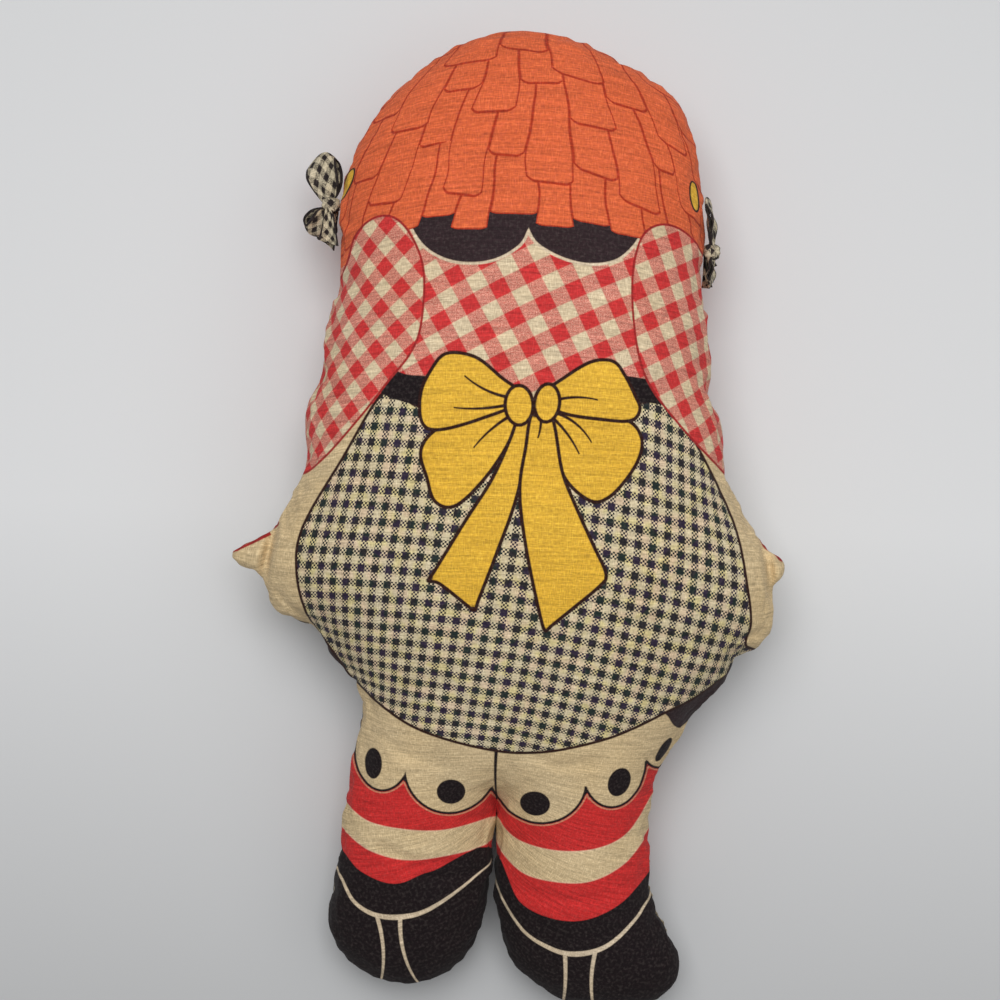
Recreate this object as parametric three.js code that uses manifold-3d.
// A stuffed cloth pillow doll, lying on its front with its back up.
// Two printed cotton panels are sewn face to face round the outline and filled, so head and trunk
// are one cushion, while the arms and legs are narrower lobes that flex where they join the trunk.
// A ribbon bow is tacked to each side of the head.
// Millimetres. +X is to the right seen from above, +Y towards the head, +Z up from the floor.

import * as THREE from "three";
import { mergeVertices } from "three/addons/utils/BufferGeometryUtils.js";
import Module from "manifold-3d";

const wasm = await Module();
wasm.setup();

// Cloth, filling and the clearances between pieces
const CLOTH = 0.8; // thickness of the printed cotton
const SEAM_GAP = 0.3; // between the edges of the back and front panels
const FILL_GAP = 0.3; // between the cloth and the filling
const REST_FLAT = 0.5; // how deep the underside is pressed flat by the floor

// Head and trunk, one cushion from the crown to the hips
const HEAD_LENGTH = 104; // crown to neck
const HEAD_WIDTH = 162;
const HEAD_THICKNESS = 92;
const TEMPLE_ABOVE_NECK = 25; // height of the widest part of the head
const NECK_WIDTH = 159;
const NECK_THICKNESS = 88;
const TRUNK_LENGTH = 208; // neck to the left hip
const SHOULDER_BELOW_NECK = 41;
const SHOULDER_WIDTH = 169;
const SHOULDER_THICKNESS = 94;
const BELLY_ABOVE_HIP = 72;
const BELLY_WIDTH = 194;
const BELLY_THICKNESS = 104;
const HIP_WIDTH = 152;
const HIP_THICKNESS = 84;
const HIP_SHIFT = 4; // the hips are cut this far to the right
const HIP_SEAM_HEIGHT = 37.5; // lower than half the thickness, so the hips are pressed flat below
const HIP_SETBACK = 5; // the trunk's open end stands this far above the hip line

// Legs, each ending in a shoe
const LEG_LENGTH = 109; // hip line to sole
const LEG_WIDTH = 67;
const LEG_THICKNESS = 57;
const LEG_DROP = 9; // the right leg is sewn in this much lower than the left
const LEGS_APART = 1;
const ANKLE_ABOVE_SOLE = 50;
const ANKLE_WIDTH = 66;
const ANKLE_THICKNESS = 52;
const SHOE_ABOVE_SOLE = 22; // height of the widest part of the shoe
const SHOE_WIDTH = 75;
const SHOE_THICKNESS = 50;
const LEG_TUCK = 9; // how far the leg's cloth runs up inside the trunk
const HIP_CLEARANCE = 0.8; // between the leg top and its hollow in the trunk

// Arms, lobes down the sides of the trunk, each with a thumb
const ARM_LENGTH = 70;
const ARM_TOP_ABOVE_BELLY = 42;
const WRIST_WIDTH = 10;
const HAND_WIDTH = 15;
const HAND_ABOVE_TIP = 24;
const ARM_THICKNESS = 17;
const ARM_CLEARANCE = 0.8; // between arm and trunk
const THUMB_LENGTH = 11; // past the hand
const THUMB_WIDTH = 22;
const THUMB_THICKNESS = 13;

// Hair bows
const RIBBON_WIDTH = 17;
const RIBBON_THICKNESS = 1.2;
const UPPER_LOOP_LENGTH = 20;
const LOWER_LOOP_LENGTH = 14;
const LOOP_DEPTH = 7.4;
const LOOP_PINCH = 0.42; // width left where the loop is drawn into the knot
const KNOT_LENGTH = 7;
const KNOT_WIDTH = 8.4;
const KNOT_DEPTH = 7.6;
const TAIL_LENGTH = 17;
const TAIL_WIDTH = 10;
const TAIL_ROOT_WIDTH = 2.6; // gathered under the knot
const TAIL_SPREAD = 0.65; // radians between a tail and the bow's length
const TIE_GAP = 0.3; // between the knot and what it gathers
const LEFT_BOW_STANDOFF = 8; // middle of the knot from the side of the head
const RIGHT_BOW_STANDOFF = 6.5;
const LEFT_BOW_BELOW_CROWN = 78;
const RIGHT_BOW_BELOW_CROWN = 94;
const LEFT_BOW_TURN = 1.2; // radians that the left bow has flopped over, to face upwards
const TACK_DIAMETER = 2.4; // thread shank that holds the bow

// Whip stitches that close the filling opening, on the outer edge of the right shoe
const STITCH_COUNT = 9;
const STITCH_SPACING = 4;
const STITCH_REACH = 2.2; // to each side of the seam
const THREAD_DIAMETER = 0.8;
const THREAD_GAP = 0.3;

// Mesh fineness
const BODY_SIDES = 28;
const LEG_SIDES = 18;
const ARM_SIDES = 12;
const SECTION_POWER = 2.3; // 2 is an ellipse, and more is a fuller cushion
const REACH = 600; // longer than the doll, for the cutting solids

// Places along the length, with the doll's middle at zero
const totalLength = HEAD_LENGTH + TRUNK_LENGTH + LEG_DROP + LEG_LENGTH;
const crownY = totalLength / 2;
const neckY = crownY - HEAD_LENGTH;
const hipY = neckY - TRUNK_LENGTH;
const bellyY = hipY + BELLY_ABOVE_HIP;

// Solids and meshes
function solid(geometry) {
  const bare = geometry.clone();
  bare.deleteAttribute("normal");
  bare.deleteAttribute("uv");
  const merged = mergeVertices(bare, 1e-4);
  return new wasm.Manifold(
    new wasm.Mesh({
      numProp: 3,
      vertProperties: merged.attributes.position.array,
      triVerts: new Uint32Array(merged.index.array),
    }),
  );
}

function geometryOf(body) {
  const { numProp, vertProperties, triVerts } = body.getMesh();
  const geometry = new THREE.BufferGeometry();
  geometry.setAttribute("position", new THREE.BufferAttribute(vertProperties, numProp));
  geometry.setIndex(new THREE.BufferAttribute(triVerts, 1));
  geometry.computeVertexNormals();
  return geometry;
}

function block(low, high) {
  const box = new THREE.Box3(new THREE.Vector3(...low), new THREE.Vector3(...high));
  const size = box.getSize(new THREE.Vector3());
  const centre = box.getCenter(new THREE.Vector3());
  return solid(new THREE.BoxGeometry(size.x, size.y, size.z).translate(centre.x, centre.y, centre.z));
}

const aboveFloor = (height) => block([-REACH, -REACH, height], [REACH, REACH, REACH]);

// A closed lobe through sections {y, x, z, halfWidth, halfThickness}, from low y to high y.
// A section of no width closes the lobe in a pole.
function lobe(sections, sides) {
  const points = [];
  const rings = sections.map(({ y, x, z, halfWidth, halfThickness }) => {
    const start = points.length / 3;
    const count = halfWidth > 0 ? sides : 1;
    for (let i = 0; i < count; i++) {
      const angle = (2 * Math.PI * i) / sides;
      const across = rounded(Math.cos(angle)) * halfWidth;
      const up = rounded(Math.sin(angle)) * halfThickness;
      points.push(x + across, y, z + up);
    }
    return { start, count };
  });
  const faces = [];
  for (let r = 0; r + 1 < rings.length; r++) {
    const low = rings[r];
    const high = rings[r + 1];
    for (let i = 0; i < sides; i++) {
      const next = (i + 1) % sides;
      const a = low.start + (i % low.count);
      const b = low.start + (next % low.count);
      const c = high.start + (i % high.count);
      const d = high.start + (next % high.count);
      if (high.count > 1) faces.push(a, c, d);
      if (low.count > 1) faces.push(a, high.count > 1 ? d : c, b);
    }
  }
  capFlat(rings[0], sections[0], points, faces, false);
  capFlat(rings.at(-1), sections.at(-1), points, faces, true);
  const geometry = new THREE.BufferGeometry();
  geometry.setAttribute("position", new THREE.Float32BufferAttribute(points, 3));
  geometry.setIndex(faces);
  return solid(geometry);
}

function rounded(value) {
  return Math.sign(value) * Math.abs(value) ** (2 / SECTION_POWER);
}

function capFlat(ring, section, points, faces, atHighEnd) {
  if (ring.count === 1) return;
  const middle = points.length / 3;
  points.push(section.x, section.y, section.z);
  for (let i = 0; i < ring.count; i++) {
    const a = ring.start + i;
    const b = ring.start + ((i + 1) % ring.count);
    faces.push(middle, atHighEnd ? b : a, atHighEnd ? a : b);
  }
}

// Sections on a smooth curve through a few stations.
function smoothSections(stations, steps) {
  const outline = new THREE.CatmullRomCurve3(
    stations.map((s) => new THREE.Vector3(s.y, s.halfWidth, s.halfThickness)),
    false,
    "catmullrom",
  );
  const middle = new THREE.CatmullRomCurve3(
    stations.map((s) => new THREE.Vector3(s.y, s.x, s.z)),
    false,
    "catmullrom",
  );
  return Array.from({ length: steps + 1 }, (_, i) => {
    const shape = outline.getPoint(i / steps);
    const place = middle.getPoint(i / steps);
    return { y: shape.x, halfWidth: shape.y, halfThickness: shape.z, x: place.y, z: place.z };
  });
}

// Sections that round off from one section to a pole at endY, from the section outwards.
function roundEnd(section, endY, power, steps) {
  return Array.from({ length: steps }, (_, i) => {
    const turn = ((i + 1) / steps) * (Math.PI / 2);
    const along = Math.sin(turn) ** (2 / power);
    const across = i + 1 === steps ? 0 : Math.cos(turn) ** (2 / power);
    return {
      ...section,
      y: section.y + (endY - section.y) * along,
      halfWidth: section.halfWidth * across,
      halfThickness: section.halfThickness * across,
    };
  });
}

// The same sections moved in from the surface by a depth, along the outline's normal.
function inset(sections, depth) {
  return sections.map((s, i) => {
    const before = sections[Math.max(i - 1, 0)];
    const after = sections[Math.min(i + 1, sections.length - 1)];
    const run = new THREE.Vector2(after.y - before.y, after.halfWidth - before.halfWidth).normalize();
    const pole = s.halfWidth === 0;
    const outwards = pole ? 0 : run.x;
    const endwards = pole ? Math.sign(s.y - sections[sections.length >> 1].y) : -run.y;
    return {
      ...s,
      y: s.y - depth * endwards,
      halfWidth: s.halfWidth - depth * outwards,
      halfThickness: s.halfThickness - depth * outwards,
    };
  });
}

// Everything above (side 1) or below (side -1) the seam that runs along the sections' middles.
function seamSide(sections, side) {
  const shape = new THREE.Shape();
  const offset = (side * SEAM_GAP) / 2;
  const first = sections[0];
  const last = sections.at(-1);
  shape.moveTo(-REACH, side * REACH);
  shape.lineTo(-REACH, first.z + offset);
  sections.forEach((s) => shape.lineTo(s.y, s.z + offset));
  shape.lineTo(REACH, last.z + offset);
  shape.lineTo(REACH, side * REACH);
  const cut = new THREE.ExtrudeGeometry(shape, { depth: 2 * REACH, bevelEnabled: false });
  const toSide = new THREE.Matrix4().makeBasis(
    new THREE.Vector3(0, 1, 0),
    new THREE.Vector3(0, 0, 1),
    new THREE.Vector3(1, 0, 0),
  );
  return solid(cut.applyMatrix4(toSide).translate(-REACH, 0, 0));
}

// A stuffed lobe as its back cloth, front cloth and filling. make(depth) gives the solid that lies
// depth below the outside of the cloth, and the two cuts take away what is open or hollow.
function stuffed(make, seamSections, clothCut, fillingCut) {
  const without = (solidBody, cut) => (cut ? solidBody.subtract(cut) : solidBody);
  const inside = make(CLOTH).intersect(aboveFloor(CLOTH));
  const shell = without(make(0).intersect(aboveFloor(0)).subtract(inside), clothCut);
  const depth = CLOTH + FILL_GAP;
  return {
    back: shell.intersect(seamSide(seamSections, 1)),
    front: shell.intersect(seamSide(seamSections, -1)),
    filling: without(make(depth).intersect(aboveFloor(depth)), fillingCut),
  };
}

// Colours and finishes
const finish = (color, roughness) => new THREE.MeshStandardMaterial({ color, roughness, metalness: 0 });
const printedBack = finish(0xcdbb95, 0.92);
const printedFront = finish(0xcdbb95, 0.92);
const filling = finish(0xe9e4d8, 1);
const skinCloth = finish(0xd1bf99, 0.92);
const stockingCloth = finish(0xa52b27, 0.92);
const ribbonCloth = finish(0x8d8674, 0.85);
const thread = finish(0x2b2224, 0.8);

const doll = new THREE.Group();

function piece(name, body, material, parent = doll) {
  const mesh = new THREE.Mesh(body.isBufferGeometry ? body : geometryOf(body), material);
  mesh.name = name;
  parent.add(mesh);
  return mesh;
}

// Head and trunk
const headSeamZ = HEAD_THICKNESS / 2 - REST_FLAT;
const bellySeamZ = BELLY_THICKNESS / 2 - REST_FLAT;
const station = (y, width, thickness, z, x = 0) => ({
  y,
  x,
  z,
  halfWidth: width / 2,
  halfThickness: thickness / 2,
});
const temple = station(neckY + TEMPLE_ABOVE_NECK, HEAD_WIDTH, HEAD_THICKNESS, headSeamZ);
const bodyStations = [
  station(hipY - LEG_DROP - CLOTH * 2, HIP_WIDTH, HIP_THICKNESS, HIP_SEAM_HEIGHT, HIP_SHIFT),
  station(hipY + LEG_DROP, HIP_WIDTH, HIP_THICKNESS, HIP_SEAM_HEIGHT, HIP_SHIFT),
  station(bellyY, BELLY_WIDTH, BELLY_THICKNESS, bellySeamZ),
  station(neckY - SHOULDER_BELOW_NECK, SHOULDER_WIDTH, SHOULDER_THICKNESS, (headSeamZ + bellySeamZ) / 2),
  station(neckY, NECK_WIDTH, NECK_THICKNESS, (headSeamZ + bellySeamZ) / 2),
  temple,
];
const bodySections = [
  ...smoothSections(bodyStations, 15),
  ...roundEnd(temple, crownY, 2, 6),
];

function legSide(side) {
  const y = side < 0 ? hipY : hipY - LEG_DROP;
  return { side, y, name: side < 0 ? "left" : "right" };
}
const hips = [legSide(-1), legSide(1)];

const besideMiddle = (side, width) => side * (LEGS_APART / 2 + width / 2);

// The rounded top of a leg: its section at the hip, turned about the hip line.
function legTop({ side, y }, grow) {
  const half = LEG_SIDES / 2;
  const profile = Array.from({ length: half + 1 }, (_, i) => {
    const angle = (Math.PI * i) / half;
    const radius = i % half === 0 ? 0 : rounded(Math.sin(angle)) * (LEG_THICKNESS / 2 + grow);
    return new THREE.Vector2(radius, -rounded(Math.cos(angle)) * (LEG_WIDTH / 2 + grow));
  });
  const turned = new THREE.LatheGeometry(profile, 28).rotateZ(Math.PI / 2);
  return solid(turned.translate(besideMiddle(side, LEG_WIDTH), y, HIP_SEAM_HEIGHT));
}

// The room a leg needs in the trunk: a hollow for its top, and all that lies below the open end.
function hipRoom(hip) {
  const low = [Math.min(0, hip.side * REACH), -REACH, -REACH];
  const high = [Math.max(0, hip.side * REACH), hip.y + HIP_SETBACK, REACH];
  return legTop(hip, HIP_CLEARANCE).add(block(low, high));
}

const bothHips = hipRoom(hips[0]).add(hipRoom(hips[1]));
const body = stuffed(
  (depth) => lobe(inset(bodySections, depth), BODY_SIDES),
  bodySections,
  bothHips,
  bothHips,
);
const headSide = block([-REACH, neckY + FILL_GAP / 2, -REACH], [REACH, REACH, REACH]);
const trunkSide = block([-REACH, -REACH, -REACH], [REACH, neckY - FILL_GAP / 2, REACH]);
piece("back_panel", body.back, printedBack);
piece("front_panel", body.front, printedFront);
piece("head_stuffing", body.filling.intersect(headSide), filling);
piece("trunk_stuffing", body.filling.intersect(trunkSide), filling);

// A value of the trunk's sections at any height, between the two sections nearest to it.
function bodyAt(y, key) {
  const above = bodySections.findIndex((s) => s.y >= y);
  const low = bodySections[above - 1];
  const high = bodySections[above];
  return THREE.MathUtils.mapLinear(y, low.y, high.y, low[key], high[key]);
}

// Legs
function legSections({ side, y }) {
  const soleY = y - LEG_LENGTH;
  const shoeSeamZ = SHOE_THICKNESS / 2 - REST_FLAT;
  const slope = (HIP_SEAM_HEIGHT - shoeSeamZ) / (LEG_LENGTH - SHOE_ABOVE_SOLE);
  const ankleZ = shoeSeamZ + slope * (ANKLE_ABOVE_SOLE - SHOE_ABOVE_SOLE);
  const at = (height, width, thickness, z) =>
    station(soleY + height, width, thickness, z, besideMiddle(side, width));
  const shoe = at(SHOE_ABOVE_SOLE, SHOE_WIDTH, SHOE_THICKNESS, shoeSeamZ);
  const ankle = at(ANKLE_ABOVE_SOLE, ANKLE_WIDTH, ANKLE_THICKNESS, ankleZ);
  const hip = at(LEG_LENGTH, LEG_WIDTH, LEG_THICKNESS, HIP_SEAM_HEIGHT);
  return [...roundEnd(shoe, soleY, 2.6, 5).reverse(), ...smoothSections([shoe, ankle, hip], 6)];
}

for (const hip of hips) {
  const sections = legSections(hip);
  const make = (depth) => lobe(inset(sections, depth), LEG_SIDES).add(legTop(hip, -depth));
  const pastTuck = block([-REACH, hip.y + LEG_TUCK, -REACH], [REACH, REACH, REACH]);
  const leg = stuffed(make, sections, pastTuck);
  piece(`${hip.name}_leg_back_cloth`, leg.back, stockingCloth);
  piece(`${hip.name}_leg_front_cloth`, leg.front, stockingCloth);
  piece(`${hip.name}_leg_stuffing`, leg.filling, filling);
}

// Arms
const armTopY = bellyY + ARM_TOP_ABOVE_BELLY;
const handY = armTopY - ARM_LENGTH + HAND_ABOVE_TIP;

function armSections(side) {
  const beside = (section) => {
    const clear = bodyAt(section.y, "halfWidth") + ARM_CLEARANCE + section.halfWidth;
    return { ...section, x: bodyAt(section.y, "x") + side * clear, z: bodyAt(section.y, "z") };
  };
  const hand = beside(station(handY, HAND_WIDTH, ARM_THICKNESS, 0));
  const wrist = beside(station(armTopY - WRIST_WIDTH, WRIST_WIDTH, ARM_THICKNESS, 0));
  return [
    ...roundEnd(hand, handY - HAND_ABOVE_TIP, 2.2, 4).reverse(),
    ...smoothSections([hand, wrist], 4).map(beside),
    ...roundEnd(wrist, armTopY, 2, 3),
  ];
}

// The thumb is a blunt cone that points out from the middle of the hand.
function thumb(side, depth) {
  const root = station(0, THUMB_WIDTH, THUMB_THICKNESS, 0);
  const sections = [root, ...roundEnd(root, HAND_WIDTH / 2 + THUMB_LENGTH, 1.5, 4)];
  const outX = bodyAt(handY, "halfWidth") + ARM_CLEARANCE + HAND_WIDTH / 2;
  const place = new THREE.Matrix4()
    .makeTranslation(bodyAt(handY, "x") + side * outX, handY, bodyAt(handY, "z"))
    .multiply(new THREE.Matrix4().makeRotationZ((-side * Math.PI) / 2));
  return lobe(inset(sections, depth), ARM_SIDES).transform(place.elements);
}

for (const side of [-1, 1]) {
  const name = side < 0 ? "left" : "right";
  const sections = armSections(side);
  const make = (depth) => lobe(inset(sections, depth), ARM_SIDES).add(thumb(side, depth));
  const arm = stuffed(make, sections);
  piece(`${name}_arm_back_cloth`, arm.back, skinCloth);
  piece(`${name}_arm_front_cloth`, arm.front, skinCloth);
  piece(`${name}_arm_stuffing`, arm.filling, filling);
}

// Hair bows. In a bow's own frame x runs along the loops, y across the ribbon and z away from the head.
function loopRing(length, grow) {
  const reach = length / 2;
  return Array.from({ length: 20 }, (_, i) => {
    const turn = (2 * Math.PI * i) / 20;
    const swell = Math.abs(Math.sin(turn / 2));
    const depth = (LOOP_DEPTH / 2) * swell + RIBBON_THICKNESS * (1 - swell);
    const x = reach - (reach + grow) * Math.cos(turn);
    return new THREE.Vector2(x, (depth + grow) * Math.sin(turn));
  });
}

function bowLoop(length) {
  const ring = new THREE.Shape(loopRing(length, 0));
  ring.holes.push(new THREE.Path(loopRing(length, -RIBBON_THICKNESS).reverse()));
  const loop = new THREE.ExtrudeGeometry(ring, { depth: RIBBON_WIDTH, steps: 2, bevelEnabled: false });
  loop.translate(0, 0, -RIBBON_WIDTH / 2).rotateX(Math.PI / 2);
  const place = loop.attributes.position;
  for (let i = 0; i < place.count; i++) {
    const opened = Math.sin((Math.PI / 2) * (place.getX(i) / length));
    place.setY(i, place.getY(i) * (LOOP_PINCH + (1 - LOOP_PINCH) * opened));
  }
  return loop.translate(KNOT_LENGTH / 2 + TIE_GAP, 0, 0);
}

function bowTail() {
  const strip = new THREE.Shape();
  strip.moveTo(0, -TAIL_ROOT_WIDTH / 2);
  strip.lineTo(TAIL_LENGTH, -TAIL_WIDTH / 2);
  strip.lineTo(TAIL_LENGTH - TAIL_WIDTH / 3, 0);
  strip.lineTo(TAIL_LENGTH, TAIL_WIDTH / 2);
  strip.lineTo(0, TAIL_ROOT_WIDTH / 2);
  const tail = new THREE.ExtrudeGeometry(strip, { depth: RIBBON_THICKNESS, bevelEnabled: false });
  const knotSlope = Math.min(1, (2 * TACK_DIAMETER) / KNOT_LENGTH);
  const knotUnderside = (KNOT_DEPTH / 2) * Math.sqrt(1 - knotSlope ** 2);
  const below = Math.max(knotUnderside, LOOP_DEPTH / 2) + TIE_GAP;
  return tail.translate(TACK_DIAMETER, 0, -below - RIBBON_THICKNESS);
}

function hairBow(side, belowCrown, turn, standoff) {
  const name = side < 0 ? "left" : "right";
  const y = crownY - belowCrown;
  const edgeX = bodyAt(y, "halfWidth");
  const bow = new THREE.Group();
  bow.position.set(side * (edgeX + standoff), y, bodyAt(y, "z"));
  const frame = new THREE.Matrix4().makeBasis(
    new THREE.Vector3(0, 1, 0),
    new THREE.Vector3(0, 0, side),
    new THREE.Vector3(side, 0, 0),
  );
  bow.rotation.setFromRotationMatrix(frame);
  doll.add(bow);

  // The ribbon has flopped over about the bow's length, and the thread shank has not.
  const ribbon = new THREE.Group();
  ribbon.rotation.x = -side * turn;
  bow.add(ribbon);
  const knot = new THREE.SphereGeometry(0.5, 12, 8).scale(KNOT_LENGTH, KNOT_WIDTH, KNOT_DEPTH);
  piece(`${name}_bow_knot`, knot, ribbonCloth, ribbon);
  piece(`${name}_bow_upper_loop`, bowLoop(UPPER_LOOP_LENGTH), ribbonCloth, ribbon);
  const lower = piece(`${name}_bow_lower_loop`, bowLoop(LOWER_LOOP_LENGTH), ribbonCloth, ribbon);
  lower.rotation.z = Math.PI;

  // Both tails hang from the knot's far side, and a flopped bow's tails swing clear of the head.
  const lean = (TAIL_SPREAD * turn) / (Math.PI / 2);
  const inner = piece(`${name}_bow_inner_tail`, bowTail(), ribbonCloth, ribbon);
  const outer = piece(`${name}_bow_outer_tail`, bowTail(), ribbonCloth, ribbon);
  inner.rotation.z = Math.PI + side * (lean - TAIL_SPREAD);
  outer.rotation.z = Math.PI + side * (lean + TAIL_SPREAD);

  const knotReach = Math.hypot(Math.cos(turn) * KNOT_DEPTH, Math.sin(turn) * KNOT_WIDTH) / 2;
  const length = standoff - knotReach - 2 * TIE_GAP;
  const shank = new THREE.CylinderGeometry(TACK_DIAMETER / 2, TACK_DIAMETER / 2, length, 10);
  shank.rotateX(Math.PI / 2).translate(0, 0, -knotReach - TIE_GAP - length / 2);
  piece(`${name}_bow_tack`, shank, thread, bow);
}
hairBow(-1, LEFT_BOW_BELOW_CROWN, LEFT_BOW_TURN, LEFT_BOW_STANDOFF);
hairBow(1, RIGHT_BOW_BELOW_CROWN, 0, RIGHT_BOW_STANDOFF);

// Whip stitches over the seam of the right shoe, one thread that crosses the seam and back
function closingStitches() {
  const sections = legSections(hips[1]);
  const edge = new THREE.CatmullRomCurve3(
    sections.map((s) => new THREE.Vector3(s.x + s.halfWidth + THREAD_GAP + THREAD_DIAMETER / 2, s.y, s.z)),
    false,
    "catmullrom",
    0,
  );
  const middle = hips[1].y - LEG_LENGTH + ANKLE_ABOVE_SOLE;
  const startY = middle - (STITCH_COUNT * STITCH_SPACING) / 2;
  const path = Array.from({ length: 2 * STITCH_COUNT + 1 }, (_, i) => {
    const y = startY + (i * STITCH_SPACING) / 2;
    const above = sections.findIndex((s) => s.y >= y);
    const share = (y - sections[above - 1].y) / (sections[above].y - sections[above - 1].y);
    const point = edge.getPoint((above - 1 + share) / (sections.length - 1));
    return point.add(new THREE.Vector3(0, 0, i % 2 ? STITCH_REACH : -STITCH_REACH));
  });
  const run = new THREE.CatmullRomCurve3(path, false, "catmullrom", 0.3);
  const sides = 6;
  const steps = path.length * 3;
  const tube = new THREE.TubeGeometry(run, steps, THREAD_DIAMETER / 2, sides, false);
  const faces = [...tube.index.array];
  const lastRing = steps * (sides + 1);
  for (let i = 1; i + 1 < sides; i++) {
    faces.push(0, i, i + 1);
    faces.push(lastRing, lastRing + i + 1, lastRing + i);
  }
  tube.setIndex(faces);
  return tube;
}
piece("closing_stitches", closingStitches(), thread);

export default doll;
